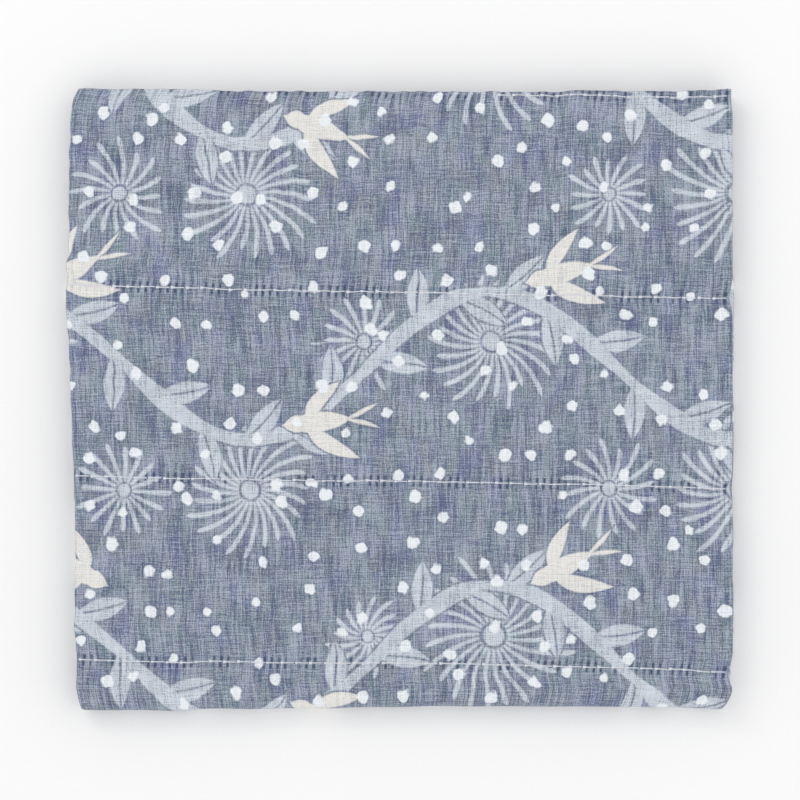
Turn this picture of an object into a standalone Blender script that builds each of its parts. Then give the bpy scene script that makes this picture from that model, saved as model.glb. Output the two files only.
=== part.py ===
"""A kitchen towel of stitched gauze plies, folded in half twice and lying flat.

The towel is one sheet. Its first fold is the spine at +X, its second the round fold at -Y,
and its four layers of hem lie open along -X and +Y. Metres, +Z up, origin under the middle.
A place on the sheet is u across and v down the flat cloth, both from the top layer's corner.
"""

import math
from collections import namedtuple

import bmesh
import bpy

MM = 0.001

SHEET = 1.7 * MM  # thickness of the plies between two stitch rows
GAP = 0.4 * MM  # air between two folded layers
LAYER = SHEET + GAP
HALF_HEIGHT = 1.5 * LAYER + SHEET / 2
FOLDED_WIDTH = 168.0 * MM
FOLDED_DEPTH = 156.0 * MM
CLOTH_WIDTH = 2 * FOLDED_WIDTH
CLOTH_DEPTH = 2 * FOLDED_DEPTH

SPINE_HALF_ARC = math.pi * LAYER / 4
FOLD_HALF_ARC = math.pi * 1.5 * LAYER / 2
LAYER_RUN = FOLDED_WIDTH - SPINE_HALF_ARC
HALF_RUN = FOLDED_DEPTH - FOLD_HALF_ARC

# Stitch rows, as distances down the flat cloth where they cross the middle of the top layer.
ROW_PLACES = tuple(at * MM for at in (0.2, 50.5, 98.1, 143.9, 190.9, 237.9, 284.9))
ROW_SLANT = 0.0196  # how far a row drops for each unit across the cloth
ROW_PINCH = 0.52  # the share of the thickness that the thread takes up
ROW_SOFTNESS = 2.6 * MM
ROW_STATIONS = tuple(at * MM for at in (-14.0, -5.0, -2.0, 0.0, 2.0, 5.0, 14.0, 20.0, 26.0))
SLANT_REACH = 6.0 * MM  # how near the hems and the fold the stations start to slant

HEM_ROUNDING = 0.8 * MM  # how far in from the hem the sheet has its whole thickness
HEM_THINNEST = 0.3  # the share of the thickness that is left at the very edge
HEM_STATIONS = tuple(at * MM for at in (0.0, 0.25, 1.0))
SIDE_HEM_REACH = 5.0 * MM  # where the even stations start across the cloth
END_HEM_STATIONS = tuple(at * MM for at in (3.0, 6.0))
CLEAR = 1.0 * MM  # how near to a hem's or the fold's stations a row's station may lie

RIPPLE = 0.05  # how much the layers' height varies over the cloth
SHORT_WAVE = (19.0 * MM, 23.0 * MM)  # the length of one radian, across and down
SHORT_WAVE_START = (1.3, -0.4)  # in radians
LONG_WAVE = (41.0 * MM, 31.0 * MM)
LONG_WAVE_START = 2.1

LAYER_INTERVALS = 10
SPINE_INTERVALS = 6
FOLD_INTERVALS = 8

Line = namedtuple("Line", "along place")


def line(*rows):
    """A hem or fold as a table in millimetres: how far along the cloth, and where it lies."""
    return tuple(Line(along * MM, place * MM) for along, place in rows)


# Places in x, by the distance v down the cloth. The fold at -Y is at 156.
OUTER_HEM = line(
    (0, -80.6), (3, -81.8), (7, -82.4), (19, -82.9), (40, -83.0), (43, -83.5), (58, -83.5), (62, -82.9),
    (73, -82.6), (91, -81.9), (115, -81.3), (134, -81.5), (141, -80.9), (151, -80.8), (156, -79.8),
    (162, -80.9), (190, -81.4), (230, -82.2), (254, -82.9), (258, -83.9), (263, -83.9), (268, -82.9),
    (295, -82.4), (312, -80.2),
)  # fmt: skip
INNER_HEM = line(
    (0, -80.2), (10, -81.6), (40, -82.4), (75, -81.9), (110, -80.9), (145, -80.5), (156, -79.5),
    (170, -80.4), (205, -81.2), (245, -82.2), (280, -81.6), (302, -81.2), (312, -79.8),
)  # fmt: skip
SPINE = line(
    (0, 83.7), (48, 83.6), (52, 83.3), (56, 83.6), (96, 83.6), (99, 83.3), (103, 83.6), (142, 83.6),
    (147, 83.0), (150, 83.6), (156, 82.0), (162, 83.6), (166, 83.1), (170, 84.0), (209, 84.0),
    (213, 83.7), (217, 84.1), (266, 84.1), (273, 83.3), (312, 83.4),
)  # fmt: skip

# Places in y, by the distance u across the cloth. The spine at +X is at 168.
UPPER_HEM = line(
    (0, 78.0), (9, 77.9), (30, 77.8), (38, 77.4), (80, 77.3), (124, 77.2), (130, 77.6), (142, 77.3),
    (160, 77.5), (168, 77.9), (180, 77.3), (230, 76.7), (290, 77.0), (336, 77.4),
)  # fmt: skip
LOWER_HEM = line(
    (0, 77.4), (30, 76.9), (80, 76.7), (130, 76.9), (168, 77.2), (200, 76.5), (260, 76.2), (336, 76.7),
)  # fmt: skip
# Place in y of the round fold's outside, by the distance across the folded cloth.
ROUND_FOLD = line(
    (0, -78.1), (30, -78.2), (36, -77.8), (58, -77.8), (90, -77.2), (140, -77.3), (156, -77.5), (162, -77.9),
    (168, -77.9),
)  # fmt: skip


def read(table, along):
    """The table's value on a smooth curve through its rows."""
    last = len(table) - 1
    i = max(0, min(last - 1, sum(row.along <= along for row in table) - 1))
    rows = [table[max(0, min(last, k))] for k in (i - 1, i, i + 1, i + 2)]
    before, start, end, after = rows
    span = end.along - start.along
    t = max(0.0, min(1.0, (along - start.along) / span))
    leaving = (end.place - before.place) / (end.along - before.along) * span
    arriving = (after.place - start.place) / (after.along - start.along) * span
    return (
        (2 * t**3 - 3 * t**2 + 1) * start.place
        + (t**3 - 2 * t**2 + t) * leaving
        + (3 * t**2 - 2 * t**3) * end.place
        + (t**3 - t**2) * arriving
    )


def mix(a, b, share):
    return a + (b - a) * share


def row_shift(u):
    """How far below its table place a stitch row lies at u."""
    return ROW_SLANT * (u - FOLDED_WIDTH / 2)


def thickness(u, v):
    """The sheet is pinched along its stitch rows and rounded at its hems."""
    pinch = sum(math.exp(-(((v - at - row_shift(u)) / ROW_SOFTNESS) ** 2)) for at in ROW_PLACES)
    inset = min(u, CLOTH_WIDTH - u, v, CLOTH_DEPTH - v, HEM_ROUNDING) / HEM_ROUNDING
    rounding = max(HEM_THINNEST, math.sqrt(max(0.0, 1 - (1 - inset) ** 2)))
    return SHEET * rounding * (1 - ROW_PINCH * pinch)


def section(u, v, offset):
    """Where a point offset from the sheet's middle lies across the cloth, and its height from the inner fold."""
    spine = read(SPINE, v) - LAYER / 2 - SHEET / 2
    if u < LAYER_RUN:
        return mix(read(OUTER_HEM, v), spine, u / LAYER_RUN), 1.5 * LAYER + offset
    if u > CLOTH_WIDTH - LAYER_RUN:
        return mix(read(INNER_HEM, v), spine, (CLOTH_WIDTH - u) / LAYER_RUN), LAYER / 2 - offset
    turn = math.pi * (u - LAYER_RUN) / (2 * SPINE_HALF_ARC)
    radius = LAYER / 2 + offset
    return spine + radius * math.sin(turn), LAYER + radius * math.cos(turn)


def ripple(x, y):
    """Soft unevenness of the pile, as a share of its height."""
    across, down = SHORT_WAVE
    across_start, down_start = SHORT_WAVE_START
    short = math.sin(x / across + across_start) * math.cos(y / down + down_start)
    across, down = LONG_WAVE
    return RIPPLE * (short + math.sin(x / across - y / down + LONG_WAVE_START)) / 2


def place(u, v, side):
    """The point at u, v of the sheet's outer face, side 1, or its inner face, side -1."""
    x, height = section(u, v, side * thickness(u, v) / 2)
    middle = read(ROUND_FOLD, x + FOLDED_WIDTH / 2) + HALF_HEIGHT
    if v <= HALF_RUN:
        y, z = mix(read(UPPER_HEM, u), middle, v / HALF_RUN), height
    elif v >= CLOTH_DEPTH - HALF_RUN:
        y, z = mix(read(LOWER_HEM, u), middle, (CLOTH_DEPTH - v) / HALF_RUN), -height
    else:
        turn = math.pi * (v - HALF_RUN) / (2 * FOLD_HALF_ARC)
        y, z = middle - height * math.sin(turn), height * math.cos(turn)
    return x, y, (HALF_HEIGHT + z) * (1 + ripple(x, y))


def evenly(start, end, intervals):
    return [mix(start, end, k / intervals) for k in range(intervals + 1)]


def stations_across():
    """Values of u, closer together at the hems and round the spine."""
    layer = [*HEM_STATIONS, *evenly(SIDE_HEM_REACH, LAYER_RUN, LAYER_INTERVALS)]
    spine = evenly(LAYER_RUN, CLOTH_WIDTH - LAYER_RUN, SPINE_INTERVALS)[1:-1]
    return layer + spine + [CLOTH_WIDTH - u for u in reversed(layer)]


def stations_down():
    """Values of v, closer together at the hems, at each stitch row and round the fold."""
    fold = evenly(HALF_RUN, CLOTH_DEPTH - HALF_RUN, FOLD_INTERVALS)
    hems = [*HEM_STATIONS, *END_HEM_STATIONS]
    rows = [at + step for at in ROW_PLACES for step in ROW_STATIONS]
    low, high = hems[-1] + CLEAR, CLOTH_DEPTH - hems[-1] - CLEAR
    clear = [v for v in rows if low < v < high and not fold[0] - CLEAR < v < fold[-1] + CLEAR]
    return sorted(hems + clear + fold + [CLOTH_DEPTH - v for v in hems])


def slanted(u, v):
    """A station follows the stitch rows, but for the hems and the fold, which it follows instead."""
    free = min(v, CLOTH_DEPTH - v, max(0.0, abs(v - FOLDED_DEPTH) - FOLD_HALF_ARC))
    return v + row_shift(u) * min(1.0, free / SLANT_REACH)


def centre(cloth):
    """Moves the cloth so that the origin is under the middle of its outline."""
    places = [vert.co for vert in cloth.verts]
    ends = [[edge(point[axis] for point in places) for edge in (min, max)] for axis in (0, 1)]
    shift = [-sum(pair) / 2 for pair in ends]
    bmesh.ops.translate(cloth, vec=(*shift, 0.0), verts=cloth.verts)


def make_cloth():
    """The closed body: both faces of the sheet, joined round its hem."""
    cloth = bmesh.new()
    across, down = stations_across(), stations_down()
    faces = {
        side: [[cloth.verts.new(place(u, slanted(u, v), side)) for u in across] for v in down]
        for side in (1, -1)
    }
    for grid in faces.values():
        for upper, lower in zip(grid, grid[1:]):
            for k in range(len(across) - 1):
                cloth.faces.new((upper[k], upper[k + 1], lower[k + 1], lower[k]))
    loops = [
        grid[0] + [row[-1] for row in grid[1:]] + grid[-1][-2::-1] + [row[0] for row in grid[-2:0:-1]]
        for grid in (faces[1], faces[-1])
    ]
    for k in range(len(loops[0])):
        outer, inner = loops
        cloth.faces.new((outer[k - 1], outer[k], inner[k], inner[k - 1]))
    bmesh.ops.recalc_face_normals(cloth, faces=cloth.faces)
    centre(cloth)
    mesh = bpy.data.meshes.new("folded_towel")
    cloth.to_mesh(mesh)
    cloth.free()
    mesh.shade_smooth()
    return mesh


def gauze_material():
    material = bpy.data.materials.new("printed_gauze")
    material.use_nodes = True
    shader = material.node_tree.nodes["Principled BSDF"]
    shader.inputs["Base Color"].default_value = (0.29, 0.33, 0.41, 1.0)
    shader.inputs["Roughness"].default_value = 0.92
    shader.inputs["Metallic"].default_value = 0.0
    return material


for leftover in list(bpy.data.objects):
    bpy.data.objects.remove(leftover)

towel = bpy.data.objects.new("folded_towel", make_cloth())
towel.data.materials.append(gauze_material())
bpy.context.scene.collection.objects.link(towel)
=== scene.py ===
"""The looks of a folded kitchen towel: its stitched gauze cloth, its sewing thread and a plain stage."""

import math

import bpy
import numpy as np
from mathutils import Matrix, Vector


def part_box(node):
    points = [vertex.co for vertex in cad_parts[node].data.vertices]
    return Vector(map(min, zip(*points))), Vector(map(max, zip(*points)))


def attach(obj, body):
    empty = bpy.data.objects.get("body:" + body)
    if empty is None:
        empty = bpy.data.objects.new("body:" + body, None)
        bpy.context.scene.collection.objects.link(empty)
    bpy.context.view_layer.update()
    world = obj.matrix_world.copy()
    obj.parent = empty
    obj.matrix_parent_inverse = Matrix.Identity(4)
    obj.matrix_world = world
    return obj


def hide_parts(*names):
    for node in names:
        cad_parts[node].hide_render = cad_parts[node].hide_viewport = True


bl_info = {
    "name": "Folded gauze towel",
    "version": (1, 0, 0),
    "blender": (4, 5, 0),
    "location": "View3D > Sidebar > Towel",
    "description": "Makes a printed, row-stitched gauze towel that is folded in four",
    "category": "Object",
}

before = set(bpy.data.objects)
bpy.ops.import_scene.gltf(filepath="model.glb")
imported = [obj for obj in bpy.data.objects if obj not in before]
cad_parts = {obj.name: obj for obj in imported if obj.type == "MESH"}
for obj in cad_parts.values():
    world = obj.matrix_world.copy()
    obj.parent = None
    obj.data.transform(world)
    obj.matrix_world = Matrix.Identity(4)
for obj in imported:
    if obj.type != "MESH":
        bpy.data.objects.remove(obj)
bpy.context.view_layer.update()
NODE = "folded_towel"
CLOTH = "gauze_cloth"
FLAT_PLACE = "flat_place"
MM = 0.001

FOLDED_WIDTH = 168.0 * MM
FOLDED_DEPTH = 156.0 * MM
CLOTH_WIDTH = 2 * FOLDED_WIDTH
CLOTH_DEPTH = 2 * FOLDED_DEPTH

# Stitch rows, as distances down the flat cloth where they cross the middle of the top layer.
ROW_PLACES = np.array((0.2, 50.5, 98.1, 143.9, 190.9, 237.9, 284.9)) * MM
ROW_SLANT = 0.0196  # how far a row drops for each unit across the cloth
SLANT_REACH = 6.0 * MM  # how far from the hems and the fold the mesh has its whole slant

# The unevenness of the sheet, each kind with its usual width.
GATHER_WAVE = 3.6 * MM
GATHER_STRETCH = 0.35  # the width of a gather over its length
GATHER_PLACE = 1.6 * MM  # how far from a row the gathers are highest
GATHER_REACH = 2.4 * MM  # how far from there they fade
LUMP_WAVE = 13.0 * MM
LUMP_CLEARANCE = 5.0 * MM  # how far from a row the lumps set in
FRAY_WAVE = 4.5 * MM
PLY_WAVE = 9.0 * MM
HEM_ROUNDING = 0.6 * MM  # how far in from a hem the sheet has its whole thickness
HEM_THINNEST = 0.6  # the square of the share of the thickness that is left at the very edge

# The slow rise and fall of the layers.
SHORT_WAVE = (19.0 * MM, 23.0 * MM)  # the length of one radian, across and down
SHORT_WAVE_START = (1.3, -0.4)  # in radians
LONG_WAVE = (41.0 * MM, 31.0 * MM)
LONG_WAVE_START = 2.1

# Steps of the mesh: on the face that shows, round the fold, and below it.
STEPS_ACROSS = (1.2 * MM, 0.33 * MM, 4.0 * MM)
STEPS_DOWN = (1.15 * MM, 0.6 * MM, 2.8 * MM)
# Finer steps at a hem: how far in from it they end, and their size.
HEM_STEPS = ((0.15 * MM, 0.15 * MM), (0.45 * MM, 0.3 * MM), (1.2 * MM, 0.4 * MM))


def table(*rows):
    """A hem or fold in millimetres: how far along the cloth, and where it lies."""
    return np.array(rows).T * MM


# Places in x, by the distance v down the cloth. The round fold is at 156.
OUTER_HEM = table(
    (0, -80.6), (3, -81.8), (7, -82.4), (19, -82.9), (40, -83.0), (43, -83.5), (58, -83.5), (62, -82.9),
    (73, -82.6), (91, -81.9), (115, -81.3), (134, -81.5), (141, -80.9), (151, -80.8), (156, -79.8),
    (162, -80.9), (190, -81.4), (230, -82.2), (254, -82.9), (258, -83.9), (263, -83.9), (268, -82.9),
    (295, -82.4), (312, -80.2),
)
INNER_HEM = table(
    (0, -80.2), (10, -81.6), (40, -82.4), (75, -81.9), (110, -80.9), (145, -80.5), (156, -79.5),
    (170, -80.4), (205, -81.2), (245, -82.2), (280, -81.6), (302, -81.2), (312, -79.8),
)
SPINE = table(
    (0, 83.7), (48, 83.6), (52, 83.3), (56, 83.6), (96, 83.6), (99, 83.3), (103, 83.6), (142, 83.6),
    (147, 83.0), (150, 83.6), (156, 82.0), (162, 83.6), (166, 83.1), (170, 84.0), (209, 84.0),
    (213, 83.7), (217, 84.1), (266, 84.1), (273, 83.3), (312, 83.4),
)

# Places in y, by the distance u across the cloth. The spine is at 168.
UPPER_HEM = table(
    (0, 78.0), (9, 77.9), (30, 77.8), (38, 77.4), (80, 77.3), (124, 77.2), (130, 77.6), (142, 77.3),
    (160, 77.5), (168, 77.9), (180, 77.3), (230, 76.7), (290, 77.0), (336, 77.4),
)
LOWER_HEM = table(
    (0, 77.4), (30, 76.9), (80, 76.7), (130, 76.9), (168, 77.2), (200, 76.5), (260, 76.2), (336, 76.7),
)
# Places in y of the round fold's outside, by the distance across the folded cloth.
ROUND_FOLD = table(
    (0, -78.1), (30, -78.2), (36, -77.8), (58, -77.8), (90, -77.2), (140, -77.3), (156, -77.5),
    (162, -77.9), (168, -77.9),
)

# Unevenness over the flat cloth: patches for each millimetre across and down, seed, detail and roughness.
PATCHES = {
    "warp sway": (0.9, 0.25, 1.0, 1.0, 0.5),
    "weft sway": (0.25, 0.9, 2.0, 1.0, 0.5),
    "warp slubs": (1.7, 0.09, 0.0, 3.0, 0.65),
    "weft slubs": (0.14, 2.2, 9.0, 2.0, 0.6),
    "grain": (2.3, 2.3, 6.9, 2.0, 0.6),
    "streaks": (0.42, 0.13, 31.0, 2.0, 0.5),
    "clouds": (0.13, 0.1, 37.0, 1.0, 0.5),
    "tints": (0.2, 0.1, 17.0, 2.0, 0.5),
    "fading": (0.16, 0.12, 41.0, 2.0, 0.5),
    "thin ink": (0.22, 0.22, 5.06, 2.0, 0.5),
    "ragged edges": (1.6, 1.6, 0.0, 3.0, 0.5),
    "lumpy dots": (0.5, 0.5, 0.0, 1.0, 0.5),
}
YARN_SWAY = 1.1  # how far a yarn strays from its straight line, in millimetres

# How much each thing shows in the tone of the yarns.
WARP_TONE = 2.35
WARP_TONE_UNDER = 1.75  # where the weft lies over the warp
WEFT_TONE = 1.45
WEFT_TONE_UNDER = 0.95  # where the warp lies over the weft
BUNDLE_TONE = 0.26
GRAIN_TONE = 1.4
# Painted light in the weave: a painted highlight on the yarns' crowns and painted shade in the open mesh.
CROWN_PAINTED_HIGHLIGHT = 0.28
OPEN_MESH_PAINTED_SHADE = 0.5
YARN_LIGHTNESS = 0.1
YARN_CONTRAST = 1.32
STREAK_TONE = 1.05
CLOUD_TONE = 0.95
LIGHT_YARNS = 1.9
SHADED_YARNS = 1.5

# What the sewing draws in the weave, and the painted shade of the pits beside a row: distances in
# millimetres, and angles in radians.
MARKS_START = 1.4
MARKS_SHIFT = 0.8  # between the marks above a row and those below it
PIT_SHADE_PLACE = 0.85  # how far from the row the painted shade of the pits lies
LEAST_DRAWN = 0.3  # the share of the bundling where the thread is slack

# The print, in millimetres. A motif's start is a share of the repeat across and down.
PRINT_START = (17.0, 11.0)
BIRD_START = (-0.22, 0.27)
VINE_DROP = 0.42
# The large and the small flowers: start, seed, least radius and what it may gain, and petals left out.
FLOWERS = (
    ((-0.5, -0.5), 4.0, 0.88, 0.2, 0),
    ((-0.02, 0.0), 5.0, 0.55, 0.15, 7),
)
# The vine's uneven thickness: the length of one radian along it, and the share of the half width.
LONG_KNOBS = (5.3, 0.22)
SHORT_KNOBS = (2.9, 0.13)
KNOB_LEAN = 0.2
LEAF_SPACING = 22.0
LEAF_SIDES = ((1, 0.0), (-1, 11.0))  # a side of the vine, and where its leaves start
LEAF_FOOT = 6.0
LEAF = {"tilt": 42, "long": 14.0, "wide": 2.7, "bend": -1.8}
LEAF_RIB = 0.25
# A bird's wings and tail: tilt, and then root, length, half width and bend as shares of the body's length.
FEATHERS = (
    (122, 0.16, 0.85, 0.12, -0.3),
    (-116, 0.16, 0.72, 0.11, 0.26),
    (166, -0.4, 0.5, 0.032, 0.05),
    (-166, -0.4, 0.5, 0.032, -0.05),
)
BIRD_LEAN = 1.3  # between the two steepest flights, in radians
DOT_SCATTER = 0.85
RAGGED_SPREAD = 2.6  # brings the patches to about 1 either way
LUMPY_DOTS = 1.9
PRINT_EDGE = 0.45  # how wide a printed edge fades
HALO_EDGE = 0.6  # how wide the darker line round cream and white print fades
HALO_STRENGTH = 0.25
PALE_COVER = 0.96  # the most that the pale ink covers
CREAM_COVER = 0.5  # the least that the cream ink covers, in the gaps between the yarns
WHITE_COVER = 0.6

# The sewing, as shares of a stitch's length, of the thread or of a knot's swelling.
STITCH_START = 0.1
STITCH_DIP = 0.05  # the stretch in which a stitch comes out of the cloth or goes in
THREAD_SUNK = -0.8  # height of the thread's middle at the ends of a stitch, in thread diameters
THREAD_RAISED = 0.3  # its height on the way
THREAD_THINNEST = 0.35
KNOT_SUNK = 0.4
KNOT_FLATNESS = 0.5
SMALLEST_KNOT = 0.25
STRAY_ALONG = 0.15 * MM
STRAY_ASIDE = 0.08 * MM
ROW_MARGIN = 0.6 * MM  # how far from a hem the stitches stop
THREAD_SIDES = 6
# Rings of points along a stitch from 0 to 1, and how much each is swollen by the knot.
STITCH_RINGS = np.array((0.0, 0.02, 0.05, 0.09, 0.14, 0.19, 0.23, 0.28, 0.45, 0.65, 0.85, 0.94, 0.98))
STITCH_SWELL = np.array((0.1, 0.5, 0.85, 1.0, 1.0, 0.8, 0.45, 0.05, 0.0, 0.0, 0.0, 0.0, 0.0))

FLOOR_HALF_SIDE = 3.0
LAMP_SIZE = 0.7
LAMP_PLACE = (-0.75, 0.85, 0.95)
SENSOR_WIDTH = 36.0  # of the camera, in millimetres
VIEW_CLIPS = (0.01, 20.0)  # the nearest and the farthest that the camera sees
STACK_HEIGHT = 8 * MM  # the height at which the view width is measured


def length(label, about, size):
    """A size in metres that a user may change."""
    return bpy.props.FloatProperty(name=label, description=about, default=size, unit="LENGTH", precision=5)


def share(label, about, value):
    """A number without a unit that a user may change."""
    return bpy.props.FloatProperty(name=label, description=about, default=value, precision=3)


def colour(label, about, rgb):
    """A colour that a user may change."""
    return bpy.props.FloatVectorProperty(
        name=label, description=about, default=rgb, subtype="COLOR", size=3, min=0.0, max=1.0
    )


class TowelSizes(bpy.types.PropertyGroup):
    """Sizes of the cloth and its sewing."""

    sheet: length("Sheet", "Thickness of the gauze plies between two stitch rows", 1.7 * MM)
    gap: length("Air gap", "Air between two folded layers", 0.4 * MM)
    pinch: share("Row pinch", "Share of the thickness that the thread takes up", 0.52)
    softness: length("Row softness", "How far from its row the pinch reaches", 2.6 * MM)
    ripple: share("Ripple", "How much the height of the layers varies", 0.05)
    # A height here; among the colours the same name holds the painted shade of the pits beside a row.
    pucker_height_and_painted_shade: length("Pucker", "Height of the small gathers beside a row", 0.24 * MM)
    puff: length("Puff", "Height of the soft lumps between the rows", 0.15 * MM)
    fray: length("Fray", "How uneven the hems are", 0.16 * MM)
    plies: bpy.props.IntProperty(name="Hem plies", description="Plies that show at a hem", default=3)
    ply_groove: length("Ply groove", "Depth of the grooves between plies at a hem", 0.3 * MM)
    yarn: length("Yarn pitch", "Distance from one yarn of the weave to the next", 0.55 * MM)
    stitch: length("Stitch", "Length of one stitch with its knot", 3.7 * MM)
    thread: length("Thread", "Diameter of the sewing thread", 0.27 * MM)
    knot: length("Knot", "Width of the largest flat knots where the thread enters the cloth", 0.9 * MM)


class TowelPrint(bpy.types.PropertyGroup):
    """Sizes of the printed pattern."""

    repeat: length("Repeat", "Distance between two flowers across the cloth", 62 * MM)
    drop: length("Drop", "Distance between two flowers down the cloth", 74 * MM)
    flower: length("Flower", "Usual radius of a large flower", 21 * MM)
    petals: bpy.props.IntProperty(name="Petals", description="Petals in a large flower", default=23)
    petal: length("Petal", "Half the width of a petal", 0.62 * MM)
    stem: length("Stem", "Half the width of a stem", 1.8 * MM)
    bird: length("Bird", "Length of a bird's body", 18 * MM)
    dot: length("Dot", "Usual radius of a dot", 1.36 * MM)
    dot_spacing: length("Dot spacing", "Usual distance between two dots", 11.2 * MM)
    reserve: length("Reserve", "Unprinted line left where one motif crosses another", 0.5 * MM)
    ragged: length("Ragged edge", "How far the weave breaks up a printed edge", 0.22 * MM)


class TowelColours(bpy.types.PropertyGroup):
    """Colours of the yarn, the print and the thread."""

    ground: colour("Ground", "Usual colour of the woven ground", (0.262, 0.300, 0.378))
    shade: colour("Shade", "Where the weave is open", (0.105, 0.132, 0.225))
    # Painted shade: the dark pits beside a row, where the thread draws the weave in.
    pucker_height_and_painted_shade: colour("Pucker", "Where the thread draws the weave in", (0.060, 0.078, 0.145))
    light: colour("Light yarn", "Thick pale yarns", (0.420, 0.465, 0.565))
    cool: colour("Cool tint", "Tint of the greener patches", (0.245, 0.318, 0.348))
    violet: colour("Violet tint", "Tint of the bluer patches", (0.238, 0.268, 0.412))
    faded: colour("Faded tint", "Tint of the greyer patches", (0.280, 0.302, 0.338))
    pale: colour("Pale print", "Flowers and stems", (0.712, 0.768, 0.842))
    pale_deep: colour("Thin pale print", "Flowers and stems where the ink is thin", (0.590, 0.640, 0.710))
    cream: colour("Cream print", "Birds", (0.850, 0.838, 0.808))
    white: colour("White print", "Dots", (0.900, 0.938, 0.980))
    thread: colour("Thread", "Sewing thread", (0.800, 0.815, 0.870))


class TowelStage(bpy.types.PropertyGroup):
    """The floor, the lights and the camera."""

    floor: colour("Floor", "Colour of the floor", (0.97, 0.97, 0.97))
    sky: share("Sky light", "Strength of the light from all round", 0.95)
    key: share("Key light", "Power of the large soft lamp in watts", 5.0)
    view_height: length("Camera height", "Height of the camera above the surface", 1.2)
    view_width: length("View width", "Width of the view at the top of the cloth", 200.6 * MM)


def read(rows, along):
    """The table's value on a smooth curve through its rows."""
    at, place = rows
    last = len(at) - 1
    i = np.clip(np.searchsorted(at, along, side="right") - 1, 0, last - 1)
    before, after = np.maximum(i - 1, 0), np.minimum(i + 2, last)
    span = at[i + 1] - at[i]
    t = np.clip((along - at[i]) / span, 0, 1)
    leaving = (place[i + 1] - place[before]) / (at[i + 1] - at[before]) * span
    arriving = (place[after] - place[i]) / (at[after] - at[i]) * span
    return (
        (2 * t**3 - 3 * t**2 + 1) * place[i]
        + (t**3 - 2 * t**2 + t) * leaving
        + (3 * t**2 - 2 * t**3) * place[i + 1]
        + (t**3 - t**2) * arriving
    )


def waves(x, y, seed, wavelength, count=9):
    """Soft unevenness between about -1 and 1, the same each time."""
    draw = np.random.default_rng(seed)
    total = 0
    for _ in range(count):
        angle, phase, stretch = draw.uniform(0, (2 * math.pi, 2 * math.pi, 1))
        turns = 2 * math.pi / (wavelength * (0.7 + 0.7 * stretch))
        total = total + np.sin((x * math.cos(angle) + y * math.sin(angle)) * turns + phase)
    return total / math.sqrt(2 * count)


def unit(vectors):
    """The vectors, each one unit long."""
    return vectors / np.linalg.norm(vectors, axis=-1, keepdims=True)


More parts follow.
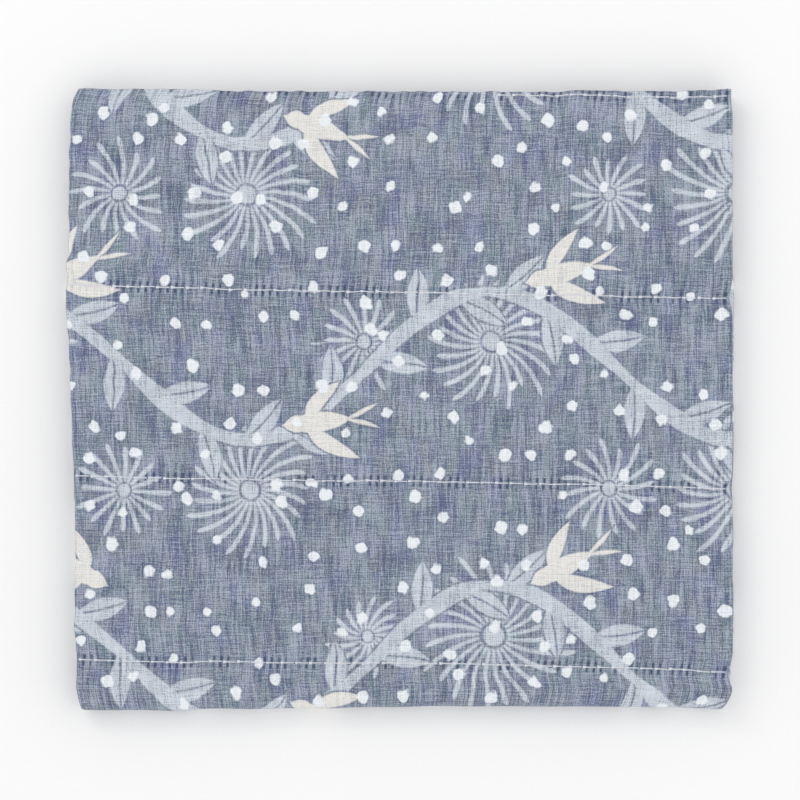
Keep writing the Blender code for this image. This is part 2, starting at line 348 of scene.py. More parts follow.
class FoldedCloth:
    """The folded sheet: where a point u across and v down the flat cloth lies."""

    def __init__(self, sizes):
        self.sizes = sizes
        self.layer = sizes.sheet + sizes.gap
        self.inner, self.outer = self.layer / 2, 1.5 * self.layer
        self.half_height = self.outer + sizes.sheet / 2
        self.spine_half_arc = math.pi * self.inner / 2
        self.fold_half_arc = math.pi * self.outer / 2
        self.layer_run = FOLDED_WIDTH - self.spine_half_arc
        self.half_run = FOLDED_DEPTH - self.fold_half_arc
        self.shift = np.zeros(3)

    def row_distance(self, u, v):
        """How far below its nearest stitch row a place lies."""
        along = np.asarray(v - ROW_SLANT * (u - FOLDED_WIDTH / 2))
        apart = along[..., None] - ROW_PLACES
        nearest = np.abs(apart).argmin(-1)
        return np.take_along_axis(apart, nearest[..., None], -1)[..., 0]

    def thickness(self, u, v):
        """Pinched at the rows, with small gathers beside them and soft lumps between."""
        sizes = self.sizes
        off = self.row_distance(u, v)
        pinch = sizes.pinch * np.exp(-((off / sizes.softness) ** 2))
        gathers = waves(u, off * GATHER_STRETCH, seed=5, wavelength=GATHER_WAVE)
        gathers = gathers * np.exp(-(((np.abs(off) - GATHER_PLACE) / GATHER_REACH) ** 2))
        lumps = waves(u, v, seed=11, wavelength=LUMP_WAVE)
        lumps = lumps * (1 - np.exp(-((off / LUMP_CLEARANCE) ** 2)))
        inset = np.minimum(np.minimum(u, CLOTH_WIDTH - u), np.minimum(v, CLOTH_DEPTH - v))
        missing = 1 - np.clip(inset / HEM_ROUNDING, 0, 1)
        rounding = np.sqrt(np.clip(1 - missing**2, HEM_THINNEST, 1))
        return (sizes.sheet * (1 - pinch) + sizes.pucker_height_and_painted_shade * gathers + sizes.puff * lumps) * rounding

    def hem(self, rows, along, seed):
        """Where a frayed hem lies, at a distance along it."""
        return read(rows, along) + self.sizes.fray * waves(along, 0 * along, seed, FRAY_WAVE)

    def section(self, u, v, offset):
        """The place in x, and the height above the inner fold, of a point off the sheet's middle."""
        layer = self.layer
        spine = read(SPINE, v) - self.inner - self.sizes.sheet / 2
        outer = self.hem(OUTER_HEM, v, seed=21)
        inner = self.hem(INNER_HEM, v, seed=22)
        a, b = u / self.layer_run, (CLOTH_WIDTH - u) / self.layer_run
        turn = math.pi * np.clip((u - self.layer_run) / (2 * self.spine_half_arc), 0, 1)
        radius = self.inner + offset
        x = np.where(a < 1, outer + (spine - outer) * a, inner + (spine - inner) * b)
        x = np.where((a < 1) | (b < 1), x, spine + radius * np.sin(turn))
        height = np.where(a < 1, self.outer + offset, self.inner - offset)
        return x, np.where((a < 1) | (b < 1), height, layer + radius * np.cos(turn))

    def ripple(self, x, y):
        """The share by which a layer lies higher or lower than the plain stack."""
        across = np.sin(x / SHORT_WAVE[0] + SHORT_WAVE_START[0])
        down = np.cos(y / SHORT_WAVE[1] + SHORT_WAVE_START[1])
        slow = np.sin(x / LONG_WAVE[0] - y / LONG_WAVE[1] + LONG_WAVE_START)
        return self.sizes.ripple * (across * down + slow) / 2

    def place(self, u, v, depth):
        """The point at u, v and at a depth from 1, the outer face, to -1, the inner face."""
        u, v, depth = np.broadcast_arrays(u, v, depth)
        x, height = self.section(u, v, depth * self.thickness(u, v) / 2)
        middle = read(ROUND_FOLD, x + FOLDED_WIDTH / 2) + self.half_height
        upper = self.hem(UPPER_HEM, u, seed=23)
        lower = self.hem(LOWER_HEM, u, seed=24)
        a, b = v / self.half_run, (CLOTH_DEPTH - v) / self.half_run
        turn = math.pi * np.clip((v - self.half_run) / (2 * self.fold_half_arc), 0, 1)
        bent = (a >= 1) & (b >= 1)
        y = np.where(a < 1, upper + (middle - upper) * a, lower + (middle - lower) * b)
        y = np.where(bent, middle - height * np.sin(turn), y)
        z = np.where(bent, height * np.cos(turn), np.where(a < 1, height, -height))
        z = np.maximum(0, (self.half_height + z) * (1 + self.ripple(x, y)))
        return np.stack([x, y, z], -1) + self.shift

    def slanted(self, u, v):
        """A station follows the stitch rows, but for the hems and the fold, which it follows instead."""
        free = np.minimum(v, CLOTH_DEPTH - v)
        free = np.minimum(free, np.maximum(0, np.abs(v - FOLDED_DEPTH) - self.fold_half_arc))
        return v + ROW_SLANT * (u - FOLDED_WIDTH / 2) * np.minimum(1, free / SLANT_REACH)

    def centre(self, low, high):
        """Sets the cloth's outline over the middle of a box."""
        u = stations((CLOTH_WIDTH, 2 * MM))
        v = stations((CLOTH_DEPTH, 1 * MM))[:, None]
        points = self.place(u, v, 1).reshape(-1, 3)
        shift = (np.add(low, high) - points.min(0) - points.max(0)) / 2
        self.shift = shift * (1, 1, 0)


def stations(*spans):
    """Places along a span, as (end, step) pairs from 0."""
    found, start = [0.0], 0.0
    for end, step in spans:
        count = max(1, round((end - start) / step))
        found += [start + (end - start) * (k + 1) / count for k in range(count)]
        start = end
    return np.array(found)


def folded_stations(whole, half_arc, steps):
    """Places from hem to hem over a fold in the middle, closest where the cloth shows and bends."""
    shown, bent, hidden = steps
    run = whole / 2 - half_arc
    first = stations(*HEM_STEPS, (run, shown))
    fold = stations((2 * half_arc, bent)) + run
    last = whole - stations(*HEM_STEPS, (run, hidden))[::-1]
    return np.concatenate([first, fold[1:-1], last])


class Linked:
    """A socket in a shader, with which shader maths is written as Python."""

    def __init__(self, maker, socket):
        self.maker, self.socket = maker, socket

    def __add__(self, other):
        return self.maker.maths("ADD", self, other)

    def __sub__(self, other):
        return self.maker.maths("SUBTRACT", self, other)

    def __rsub__(self, other):
        return self.maker.maths("SUBTRACT", other, self)

    def __mul__(self, other):
        return self.maker.maths("MULTIPLY", self, other)

    def __truediv__(self, other):
        return self.maker.maths("DIVIDE", self, other)

    def __rtruediv__(self, other):
        return self.maker.maths("DIVIDE", other, self)

    def __gt__(self, other):
        return self.maker.maths("GREATER_THAN", self, other)

    def __abs__(self):
        return self.maker.maths("ABSOLUTE", self)

    __radd__ = __add__
    __rmul__ = __mul__

    def low(self, other):
        """The lower of two values."""
        return self.maker.maths("MINIMUM", self, other)

    def high(self, other):
        """The higher of two values."""
        return self.maker.maths("MAXIMUM", self, other)

    def fraction(self):
        """What is left over the whole number below."""
        return self.maker.maths("FRACT", self)

    def whole(self):
        """The whole number below."""
        return self.maker.maths("FLOOR", self)

    def root(self):
        """The square root."""
        return self.maker.maths("SQRT", self)

    def sine(self):
        """The sine of an angle in radians."""
        return self.maker.maths("SINE", self)

    def cosine(self):
        """The cosine of an angle in radians."""
        return self.maker.maths("COSINE", self)

    def held(self):
        """The value, kept between 0 and 1."""
        return self.maker.node("ShaderNodeClamp", {}, {"Value": self})


class Shader:
    """A Principled material in the making."""

    def __init__(self, name):
        self.material = bpy.data.materials.new(name)
        self.material.use_nodes = True
        self.tree = self.material.node_tree
        self.principled = self.tree.nodes["Principled BSDF"]

    def feed(self, socket, value):
        """Links a value to a socket, or sets the socket to a number or colour."""
        if isinstance(value, Linked):
            self.tree.links.new(value.socket, socket)
        elif socket.type == "RGBA":
            socket.default_value = (*value[:3], 1.0)
        else:
            socket.default_value = value

    def node(self, kind, settings, sockets, output=0):
        """One node: its settings first, then the values or links of its sockets."""
        made = self.tree.nodes.new(kind)
        for name, value in settings.items():
            setattr(made, name, value)
        for name, value in sockets.items():
            self.feed(made.inputs[name], value)
        return Linked(self, made.outputs[output])

    def maths(self, operation, *values):
        """One Math node."""
        return self.node("ShaderNodeMath", {"operation": operation}, dict(enumerate(values)))

    def angle(self, y, x):
        """The angle of a place round the origin, in radians."""
        return self.maths("ARCTAN2", y, x)

    def vector(self, x, y, z=0.0):
        """A vector of three values."""
        return self.node("ShaderNodeCombineXYZ", {}, {0: x, 1: y, 2: z})

    def parts(self, vector):
        """The three values of a vector."""
        first = self.node("ShaderNodeSeparateXYZ", {}, {0: vector})
        return [Linked(self, socket) for socket in first.socket.node.outputs]

    def noise(self, place, scale, detail=2.0, rough=0.5):
        """Soft noise round 0.5."""
        sockets = {"Vector": place, "Scale": scale, "Detail": detail, "Roughness": rough}
        return self.node("ShaderNodeTexNoise", {"noise_dimensions": "3D"}, sockets)

    def random(self, *place):
        """One number between 0 and 1 for each whole place."""
        sockets = {"Vector": self.vector(*place)}
        return self.node("ShaderNodeTexWhiteNoise", {"noise_dimensions": "3D"}, sockets)

    def mix(self, factor, first, second):
        """A colour between two."""
        sockets = {0: factor, 6: first, 7: second}
        return self.node("ShaderNodeMix", {"data_type": "RGBA", "clamp_factor": True}, sockets, 2)

    def bump(self, height, distance, strength=1.0):
        """A normal that follows a height."""
        sockets = {"Height": height, "Distance": distance, "Strength": strength}
        return self.node("ShaderNodeBump", {}, sockets)

    def surface(self, **sockets):
        """Sets the finished shader's own sockets."""
        for name, value in sockets.items():
            self.feed(self.principled.inputs[name.replace("_", " ")], value)
        return self.material


class ClothShader(Shader):
    """A material that knows each point's place on the flat cloth. All its lengths are in millimetres."""

    def __init__(self, name):
        super().__init__(name)
        place = self.node("ShaderNodeAttribute", {"attribute_name": FLAT_PLACE}, {}, 1)
        self.u, self.v, self.off_row = self.parts(place)

    def patches(self, name):
        """Soft unevenness round 0."""
        across, down, seed, detail, rough = PATCHES[name]
        place = self.vector(self.u * across, self.v * down, seed)
        return self.noise(place, 1.0, detail, rough) - 0.5


def inside(distance, soft):
    """1 within a shape, 0 outside it, from the distance to its edge, in millimetres."""
    return (0.5 - distance / soft).held()


def turned(x, y, angle):
    """The place in axes turned by a fixed angle in degrees."""
    c, s = math.cos(math.radians(angle)), math.sin(math.radians(angle))
    return x * c + y * s, y * c - x * s


def half_drop(u, v, repeat, drop, start):
    """Place in the nearest cell of a half-drop repeat, and the cell's column and row."""
    columns = (u - start[0] * repeat) / repeat
    column = columns.whole()
    rows = (v - start[1] * drop) / drop + column * 0.5
    row = rows.whole()
    return (columns - column - 0.5) * repeat, (rows - row - 0.5) * drop, column, row


def flower(shader, x, y, seed, radius, petals, width):
    """Distance outside a flower with a ring of narrow, slightly swirled petals round a small disc."""
    # As shares of the radius: the disc, the clear ring round it, and the shortest petals.
    disc, clear, shortest = 0.12, 0.16, 0.72
    # As shares of a petal's usual half width: its root's, and what it gains towards its tip.
    root, gain = 0.5, 0.6
    reach = (x * x + y * y).root()
    angle = shader.angle(y, x) + seed * 6.0 + (seed - 0.5) * reach / radius
    turns = angle * (petals / (2 * math.pi))
    petal = turns.whole()
    uneven = shader.random(petal, seed * 9.0)
    tip = radius * (shortest + (1 - shortest) * uneven)
    aside = abs(turns - petal - 0.5) * reach * (2 * math.pi / petals)
    broad = width * (root + gain * (reach / tip).low(1.0))
    blunt = ((tip - reach) / (2.0 * width)).held().root()
    ring = (aside - broad * blunt).high(clear * radius - reach).high(reach - tip)
    return ring.low(reach - disc * radius)


def leaf(x, y, tilt, long, wide, bend=0.0):
    """Distance outside a pointed leaf from the origin, and the distance from its midrib."""
    along, aside = turned(x, y, tilt)
    way = along / long
    aside = abs(aside + way * way * bend)
    return aside - way * (1 - way) * (4 * wide), aside


def vine(u, v, repeat, drop, half_width):
    """Distance outside a vine that winds from flower to flower, with leaves on both its sides."""
    swing, turns = drop / 4, math.pi / repeat

    def nearest(along):
        """How far below the nearest vine a place is, and the vine's slope there."""
        middle, slope = (along * turns).cosine() * -swing, (along * turns).sine() * (swing * turns)
        return (((v - middle) / drop).fraction() - 0.5) * drop, slope

    line, slope = nearest(u)
    knobby = (u / LONG_KNOBS[0]).sine() * LONG_KNOBS[1]
    knobby = knobby + (u / SHORT_KNOBS[0] + line * KNOB_LEAN).sine() * SHORT_KNOBS[1]
    distance = abs(line) / (1 + slope * slope).root() - half_width * (1 + knobby)
    for side, start in LEAF_SIDES:
        foot = ((u - start) / LEAF_SPACING).whole() * LEAF_SPACING + (start + LEAF_FOOT)
        down, slope = nearest(foot)
        steep = 1 / (1 + slope * slope).root()
        along = ((u - foot) + down * slope) * steep
        aside = (down - (u - foot) * slope) * steep
        blade, rib = leaf(along, aside * side, **LEAF)
        distance = distance.low(blade.high(LEAF_RIB - rib))
    return distance


def swallow(x, y, size):
    """Distance outside a swallow in flight."""
    body, _ = leaf(x + 0.5 * size, y, 0, size, 0.14 * size)
    nape, _ = leaf(x - 0.08 * size, y, 0, 0.4 * size, 0.12 * size)
    distance = body.low(nape)
    for tilt, root, long, wide, bend in FEATHERS:
        feather, _ = leaf(x - root * size, y, tilt, long * size, wide * size, bend * size)
        distance = distance.low(feather)
    return distance


def flowers_and_vine(shader, u, v, sizes):
    """Distance outside the pale print, but for the birds' gaps in it."""
    repeat, drop = sizes.repeat / MM, sizes.drop / MM
    blooms = []
    for start, kind, least, gain, fewer in FLOWERS:
        x, y, column, row = half_drop(u, v, repeat, drop, start)
        seed = shader.random(column, row, kind)
        radius = sizes.flower / MM * (least + gain * seed)
        blooms.append(flower(shader, x, y, seed, radius, sizes.petals - fewer, sizes.petal / MM))
    large, small = blooms
    stems = vine(u, v + VINE_DROP * drop, repeat, drop, sizes.stem / MM)
    return large.low(small).high(sizes.reserve / MM - stems).low(stems)


def birds(shader, u, v, sizes):
    """Distance outside the cream print: swallows that lean and face either way."""
    x, y, column, row = half_drop(u, v, sizes.repeat / MM, sizes.drop / MM, BIRD_START)
    lean = (shader.random(column, row, 7.0) - 0.5) * BIRD_LEAN
    facing = (shader.random(column, row, 8.0) > 0.5) * 2.0 - 1.0
    x, y = x * lean.cosine() + y * lean.sine(), y * lean.cosine() - x * lean.sine()
    return swallow(x * facing, y, sizes.bird / MM)


def dots(shader, sizes):
    """Distance outside the white print: scattered dots, large and small."""
    spacing = sizes.dot_spacing / MM
    place = shader.vector(shader.u, shader.v)
    cells = {"Vector": place, "Scale": 1 / spacing, "Randomness": DOT_SCATTER}
    flat = {"voronoi_dimensions": "2D"}
    near = shader.node("ShaderNodeTexVoronoi", flat, cells) * spacing
    kind = shader.node("ShaderNodeTexVoronoi", flat, cells, 1)
    size = shader.node("ShaderNodeSeparateColor", {}, {0: kind})
    return near - sizes.dot / MM * (0.8 + 0.4 * size)


def printed(shader, sizes):
    """Distances outside the pale, cream and white print, with edges that the weave breaks up."""
    ragged = shader.patches("ragged edges") * (RAGGED_SPREAD * sizes.ragged / MM)
    lumpy = shader.patches("lumpy dots") * LUMPY_DOTS
    u, v = shader.u + PRINT_START[0], shader.v + PRINT_START[1]
    cream = birds(shader, u, v, sizes)
    pale = flowers_and_vine(shader, u, v, sizes).high(sizes.reserve / MM - cream)
    white = dots(shader, sizes)
    return pale + ragged, cream + ragged * 0.7, white + lumpy + ragged * 0.6


def plain_weave(shader, pitch):
    """Where the weft lies over the warp, how near a yarn's crown a point is, and how open the mesh is."""
    warps = (shader.u + shader.patches("warp sway") * YARN_SWAY) / pitch
    wefts = (shader.v + shader.patches("weft sway") * YARN_SWAY) / pitch
    over = ((warps.whole() + wefts.whole()) * 0.5).fraction() * 2
    warp = 1 - abs(warps.fraction() * 2 - 1)
    weft = 1 - abs(wefts.fraction() * 2 - 1)
    return over, warp * (1 - over) + weft * over, (1 - warp) * (1 - weft)


def sewing_bundles_and_pit_shade(shader, stitch, grain):
    """How the thread bundles the yarns, and the painted shade of the pits that it draws beside a row."""
    far = abs(shader.off_row)
    turns = 4 * math.pi / stitch
    marks = (shader.u * turns + (shader.off_row > 0.0) * MARKS_SHIFT + MARKS_START).sine()
    # Full within 0.35 mm of the painted pit shade's place, and gone 0.73 mm from it.
    beside = (1.9 - abs(far - PIT_SHADE_PLACE) * 2.6).held()
    # How tight the thread is, which changes slowly along a row.
    place = shader.vector(shader.u, shader.off_row * 0.4, 5.0)
    drawn = (shader.noise(place, 0.17, 1.0) * 7.0 - 2.9).held()
    bundles = marks * (1.15 - far * 0.26).held() * (LEAST_DRAWN + (1 - LEAST_DRAWN) * drawn)
    painted_pit_shade = (marks * 2.0 - 0.5 + grain).held() * drawn + (grain * 2.0).held()
    return bundles, beside * painted_pit_shade.held()


def woven_ground(shader, yarn, colours):
    """The ground's tints, with its pale thick yarns and the shade between them."""
    tint = shader.patches("tints") * 7.5 + 0.15
    fading = shader.patches("fading") * 8.0 - 0.2
    ground = shader.mix(tint.held(), colours.ground, colours.cool)
    ground = shader.mix((tint * -1).held(), ground, colours.violet)
    ground = shader.mix(fading.held(), ground, colours.faded)
    ground = shader.mix((yarn * LIGHT_YARNS).held(), ground, colours.light)
    return shader.mix((yarn * -SHADED_YARNS).held(), ground, colours.shade)


def gauze_material(colours, print_sizes, sizes):
    """Printed gauze: an open weave of thick and thin yarns."""
    shader = ClothShader("printed_gauze")
    over, crown, open_mesh = plain_weave(shader, sizes.yarn / MM)
    warp_slubs = shader.patches("warp slubs")
    grain = shader.patches("grain")
    bundles, painted_pit_shade = sewing_bundles_and_pit_shade(shader, sizes.stitch / MM, grain)
    slubs = warp_slubs * (WARP_TONE + (WARP_TONE_UNDER - WARP_TONE) * over)
    slubs = slubs + shader.patches("weft slubs") * (WEFT_TONE_UNDER + (WEFT_TONE - WEFT_TONE_UNDER) * over)
    # Painted light and shade of the weave: the yarns' crowns lighter, the open mesh darker, with a plain
    # lift of the whole tone.
    painted_weave_light_and_shade = (crown - 0.5) * CROWN_PAINTED_HIGHLIGHT - open_mesh * OPEN_MESH_PAINTED_SHADE + YARN_LIGHTNESS
    yarn = (slubs - bundles * BUNDLE_TONE + grain * GRAIN_TONE + painted_weave_light_and_shade) * YARN_CONTRAST
    yarn = yarn + shader.patches("streaks") * STREAK_TONE + shader.patches("clouds") * CLOUD_TONE
    ground = woven_ground(shader, yarn, colours)

    pale, cream, white = printed(shader, print_sizes)
    pale_mask, cream_mask, white_mask = (inside(edge, PRINT_EDGE) for edge in (pale, cream, white))
    halo = inside(cream.low(white) - PRINT_EDGE, HALO_EDGE) - cream_mask.high(white_mask)
    ground = shader.mix(halo.held() * (1 - pale_mask) * HALO_STRENGTH, ground, colours.shade)
    # Painted shade of the pits beside each row, weaker on the pale print.
    ground = shader.mix(painted_pit_shade * 0.9 * (1 - pale_mask * 0.7), ground, colours.pucker_height_and_painted_shade)
    cover = (1 - (yarn * -1.2 + open_mesh * 0.2).held() * 0.6).held()
    thin = (shader.patches("thin ink") * 2.4 + 0.5).held()
    pale_ink = shader.mix(thin, colours.pale, colours.pale_deep)
    cloth = shader.mix(pale_mask * cover * PALE_COVER, ground, pale_ink)
    cloth = shader.mix(cream_mask * (CREAM_COVER + (1 - CREAM_COVER) * cover), cloth, colours.cream)
    cloth = shader.mix(white_mask * (WHITE_COVER + (1 - WHITE_COVER) * cover), cloth, colours.white)
    relief = crown * 0.7 - open_mesh * 0.5 + warp_slubs * 0.9
    return shader.surface(
        Base_Color=cloth,
        Roughness=(0.86 + yarn * 0.06).held(),
        Normal=shader.bump(relief, 0.14 * MM, 0.7),
        Specular_IOR_Level=0.18,
        Sheen_Weight=0.12,
        Sheen_Roughness=0.5,
    )


def thread_material(colours):
    """Twisted cotton sewing thread."""
    shader = Shader("cotton_thread")
    coordinates = shader.node("ShaderNodeTexCoord", {}, {}, 3)
    fibres = shader.noise(coordinates, 2600.0, 2.0)
    tone = shader.mix(fibres, colours.thread, tuple(0.8 * c for c in colours.thread))
    normal = shader.bump(fibres, 0.03 * MM, 0.6)
    return shader.surface(Base_Color=tone, Roughness=(0.7 + 0.2 * fibres).held(), Normal=normal)


def floor_material(floor_colour):
    """A plain dull floor."""
    shader = Shader("pale_floor")
    return shader.surface(Base_Color=tuple(floor_colour), Roughness=0.95, Specular_IOR_Level=0.1)


def new_object(name, points, faces, material):
    """A smooth mesh of points and faces, in the scene."""
    mesh = bpy.data.meshes.new(name)
    mesh.from_pydata(points.tolist(), [], faces.tolist())
    mesh.materials.append(material)
    mesh.shade_smooth()
    made = bpy.data.objects.new(name, mesh)
    bpy.context.scene.collection.objects.link(made)
    return made


def grid_faces(index):
    """Four-cornered faces over a grid of point numbers."""
    corners = (index[:-1, :-1], index[:-1, 1:], index[1:, 1:], index[1:, :-1])
    return np.stack(corners, -1).reshape(-1, 4)


def rim(grid):
    """The border of a grid, as one closed loop without a repeat."""
    return np.concatenate([grid[0, :], grid[1:, -1], grid[-1, -2::-1], grid[-2:0:-1, 0]])


def folded_cloth(sizes):
    """The folded sheet, over the middle of its solid."""
    cloth = FoldedCloth(sizes)
    cloth.centre(*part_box(NODE))
    return cloth


class TOWEL_OT_cloth(bpy.types.Operator):
    """Makes the folded sheet of stitched gauze, on the folds of its solid"""

    bl_idname = "towel.cloth"
    bl_label = "Folded cloth"

    def execute(self, context):
        scene = context.scene
        cloth = folded_cloth(scene.towel_sizes)
        u = folded_stations(CLOTH_WIDTH, cloth.spine_half_arc, STEPS_ACROSS)
        v = folded_stations(CLOTH_DEPTH, cloth.fold_half_arc, STEPS_DOWN)[:, None]
        v = cloth.slanted(u, v)
        u = np.broadcast_to(u, v.shape)

        outer = np.arange(u.size).reshape(u.shape)
        inner = outer + u.size
        points = [cloth.place(u, v, side).reshape(-1, 3) for side in (1, -1)]
        flat = [np.stack([u, v, cloth.row_distance(u, v)], -1).reshape(-1, 3)] * 2
        faces = [grid_faces(outer)[:, ::-1], grid_faces(inner)]
        loops, total = [rim(outer)], 2 * u.size
        for ring, ring_flat in self.hem_rings(cloth, u, v, rim(outer), points[:2], flat[0]):
            points.append(ring)
            flat.append(ring_flat)
            loops.append(np.arange(total, total + len(ring)))
            total += len(ring)
        loops.append(rim(inner))
        for a, b in zip(loops, loops[1:]):
            faces.append(np.stack([a, b, np.roll(b, -1), np.roll(a, -1)], -1)[:, ::-1])

        material = gauze_material(scene.towel_colours, scene.towel_print, scene.towel_sizes)
        towel = new_object(CLOTH, np.concatenate(points), np.concatenate(faces), material)
        places = towel.data.attributes.new(FLAT_PLACE, "FLOAT_VECTOR", "POINT")
        places.data.foreach_set("vector", (np.concatenate(flat) / MM).ravel())
        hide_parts(NODE)
        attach(towel, "root")
        return {"FINISHED"}

    def hem_rings(self, cloth, u, v, edge, sides, flat):
        """Rings of points through the hem from side to side, and their places on the flat cloth."""
        start, end = (side[edge] for side in sides)
        thick = np.linalg.norm(end - start, axis=-1, keepdims=True)
        beyond, away = (grid.reshape(-1, 3)[edge] for grid in self.outward(cloth, u, v))
        for through, depth in self.hem_profile(cloth.sizes, len(edge)):
            ring = start + (end - start) * through - away * depth
            yield ring, flat[edge] + beyond * thick * min(through, 1 - through)

    def hem_profile(self, sizes, count):
        """How far through the hem each ring is, and how deep it lies, with a groove between two plies."""
        around = np.linspace(0, 4 * FOLDED_WIDTH + 4 * FOLDED_DEPTH, count)
        for ply in range(sizes.plies):
            uneven = waves(around, 0 * around, seed=40 + ply, wavelength=PLY_WAVE)
            sunk = 0.5 * sizes.ply_groove * (1 + uneven)[:, None]
            for corner in (0.2, 0.8):
                yield (ply + corner) / sizes.plies, sunk
            if ply < sizes.plies - 1:
                yield (ply + 1) / sizes.plies, sunk + sizes.ply_groove

    def outward(self, cloth, u, v):
        """For each place, the way out over its nearest hem, on the flat cloth and in the room."""
        step, tiny = 0.5 * MM, 1e-7
        left, right = np.maximum(u - step, 0), np.minimum(u + step, CLOTH_WIDTH)
        above, below = np.maximum(v - step, 0), np.minimum(v + step, CLOTH_DEPTH)
        du = unit(cloth.place(right, v, 0) - cloth.place(left, v, 0))
        dv = unit(cloth.place(u, below, 0) - cloth.place(u, above, 0))
        across = np.where(u < tiny, -1.0, np.where(u > CLOTH_WIDTH - tiny, 1.0, 0.0))
        down = np.where(v < tiny, -1.0, np.where(v > CLOTH_DEPTH - tiny, 1.0, 0.0))
        flat = np.stack([across, down, np.zeros_like(down)], -1)
        return flat, du * across[..., None] + dv * down[..., None]


class TOWEL_OT_stitches(bpy.types.Operator):
    """Sews the rows of running stitch on the faces that show"""

    bl_idname = "towel.stitches"
    bl_label = "Stitches"

    def execute(self, context):
        scene = context.scene
        points = list(self.stitches(folded_cloth(scene.towel_sizes)))
        rings = np.arange(len(STITCH_RINGS) * THREAD_SIDES).reshape(-1, THREAD_SIDES)
        closed = np.concatenate([rings, rings[:, :1]], 1)
        faces = [grid_faces(closed + k * rings.size)[:, ::-1] for k in range(len(points))]
        material = thread_material(scene.towel_colours)
        thread = new_object("row_stitches", np.concatenate(points), np.concatenate(faces), material)
        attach(thread, "root")
        return {"FINISHED"}

    def stitches(self, cloth):
        """The points of each stitch, row by row."""
        draw = np.random.default_rng(31)
        stitch = cloth.sizes.stitch
        reach = FOLDED_WIDTH + cloth.spine_half_arc
        for at in ROW_PLACES:
            for k in range(int(reach / stitch)):
                start = (k + STITCH_START) * stitch + draw.uniform(-STRAY_ALONG, STRAY_ALONG)
                u = start + STITCH_RINGS * stitch
                stray = draw.uniform(-STRAY_ASIDE, STRAY_ASIDE)
                v = at + ROW_SLANT * (u - FOLDED_WIDTH / 2) + stray
                if u[-1] > reach or v.min() < ROW_MARGIN or v.max() > CLOTH_DEPTH - ROW_MARGIN:
                    continue
                yield self.one_stitch(cloth, u, v, STITCH_SWELL * draw.uniform(SMALLEST_KNOT, 1.0))

    def one_stitch(self, cloth, u, v, swell):
        """Rings of points round one stitch, which dips into the cloth at both ends."""
        sizes = cloth.sizes
        radius = (sizes.thread + (sizes.knot - sizes.thread) * swell)[:, None] / 2
        face, below = cloth.place(u, v, 1), cloth.place(u, v, 0.6)
        up = unit(face - below)
        aside = np.cross(unit(np.gradient(face, axis=0)), up)
        way = STITCH_RINGS / STITCH_RINGS[-1]
        rise = np.minimum(1, np.minimum(way, 1 - way) / STITCH_DIP)[:, None] ** 0.5
        height = sizes.thread * (THREAD_SUNK + (THREAD_RAISED - THREAD_SUNK) * rise)
        centre = face + up * (height - KNOT_SUNK * (radius - sizes.thread / 2))
        thick = radius * (THREAD_THINNEST + (1 - THREAD_THINNEST) * rise)
        turn = np.linspace(0, 2 * math.pi, THREAD_SIDES, endpoint=False)[None, :, None]
        flat = (1 - KNOT_FLATNESS * swell)[:, None, None]
        ring = np.cos(turn) * aside[:, None] + np.sin(turn) * flat * up[:, None]
        return (centre[:, None] + ring * thick[:, None]).reshape(-1, 3)


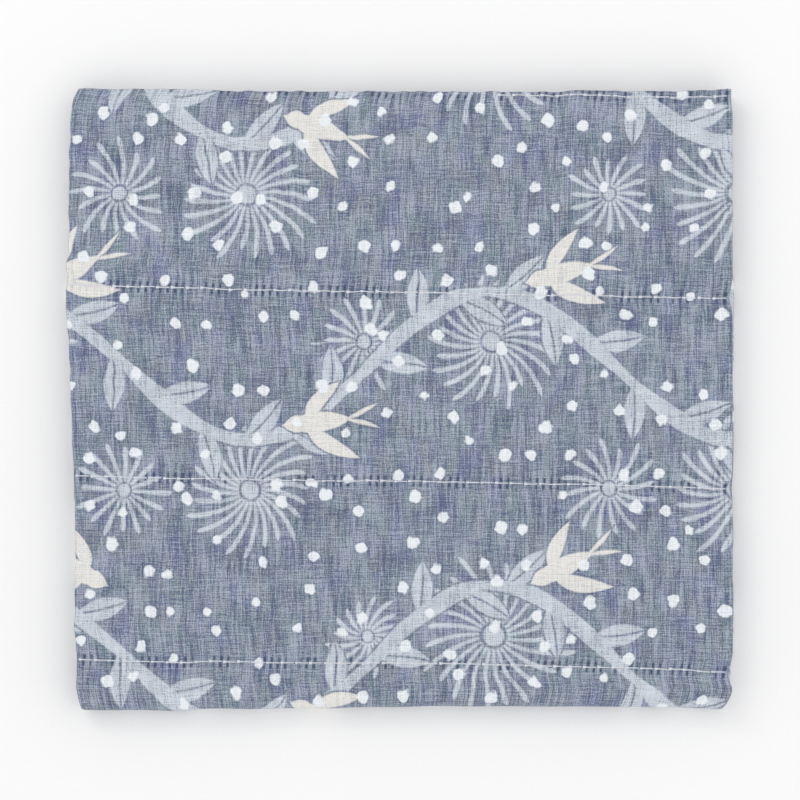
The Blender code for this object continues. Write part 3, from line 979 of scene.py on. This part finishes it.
class TOWEL_OT_stage(bpy.types.Operator):
    """Lays a plain pale floor under soft light, and looks straight down on it"""

    bl_idname = "towel.stage"
    bl_label = "Stage"

    def execute(self, context):
        scene = context.scene
        values = scene.towel_stage
        self.lay_floor(values)
        self.light(scene, values)
        self.look_down(scene, values)
        scene.view_settings.view_transform = "Standard"
        scene.view_settings.look = "None"
        return {"FINISHED"}

    def lay_floor(self, values):
        """A wide square floor under the towel."""
        corners = np.array([(-1, -1, 0), (1, -1, 0), (1, 1, 0), (-1, 1, 0)]) * FLOOR_HALF_SIDE
        floor = new_object("floor", corners, np.array([[0, 1, 2, 3]]), floor_material(values.floor))

    def light(self, scene, values):
        """An even sky, and a large soft lamp from the upper left."""
        world = bpy.data.worlds.new("soft_sky")
        world.use_nodes = True
        sky = world.node_tree.nodes["Background"]
        sky.inputs["Color"].default_value = (1.0, 1.0, 1.0, 1.0)
        sky.inputs["Strength"].default_value = values.sky
        scene.world = world

        lamp = bpy.data.lights.new("window", "AREA")
        lamp.shape = "DISK"
        lamp.size = LAMP_SIZE
        lamp.energy = values.key
        window = bpy.data.objects.new("window", lamp)
        window.location = LAMP_PLACE
        scene.collection.objects.link(window)
        x, y, z = LAMP_PLACE
        window.rotation_euler = (math.atan2(math.hypot(x, y), z), 0, -math.atan2(-x, y))

    def look_down(self, scene, values):
        """A camera straight above the towel."""
        lens = bpy.data.cameras.new("overhead")
        lens.sensor_width = SENSOR_WIDTH
        lens.lens = SENSOR_WIDTH * (values.view_height - STACK_HEIGHT) / values.view_width
        lens.clip_start, lens.clip_end = VIEW_CLIPS
        camera = bpy.data.objects.new("overhead", lens)
        camera.location = (0, 0, values.view_height)
        scene.collection.objects.link(camera)
        scene.camera = camera


class TOWEL_PT_panel(bpy.types.Panel):
    """Lists what makes the towel"""

    bl_label = "Towel"
    bl_idname = "TOWEL_PT_panel"
    bl_space_type = "VIEW_3D"
    bl_region_type = "UI"
    bl_category = "Towel"

    def draw(self, context):
        for maker in MAKERS:
            self.layout.operator(maker.bl_idname)
        for name in GROUPS:
            group = getattr(context.scene, name)
            box = self.layout.box()
            for key in type(group).__annotations__:
                box.prop(group, key)


MAKERS = (TOWEL_OT_cloth, TOWEL_OT_stitches, TOWEL_OT_stage)
GROUPS = {
    "towel_sizes": TowelSizes,
    "towel_print": TowelPrint,
    "towel_colours": TowelColours,
    "towel_stage": TowelStage,
}


def register():
    for cls in (*GROUPS.values(), *MAKERS, TOWEL_PT_panel):
        bpy.utils.register_class(cls)
    for name, group in GROUPS.items():
        setattr(bpy.types.Scene, name, bpy.props.PointerProperty(type=group))


def unregister():
    for name in GROUPS:
        delattr(bpy.types.Scene, name)
    for cls in (TOWEL_PT_panel, *MAKERS, *GROUPS.values()):
        bpy.utils.unregister_class(cls)


def main():
    register()
    bpy.ops.towel.stage()
    bpy.ops.towel.cloth()
    bpy.ops.towel.stitches()


if __name__ == "__main__":
    main()
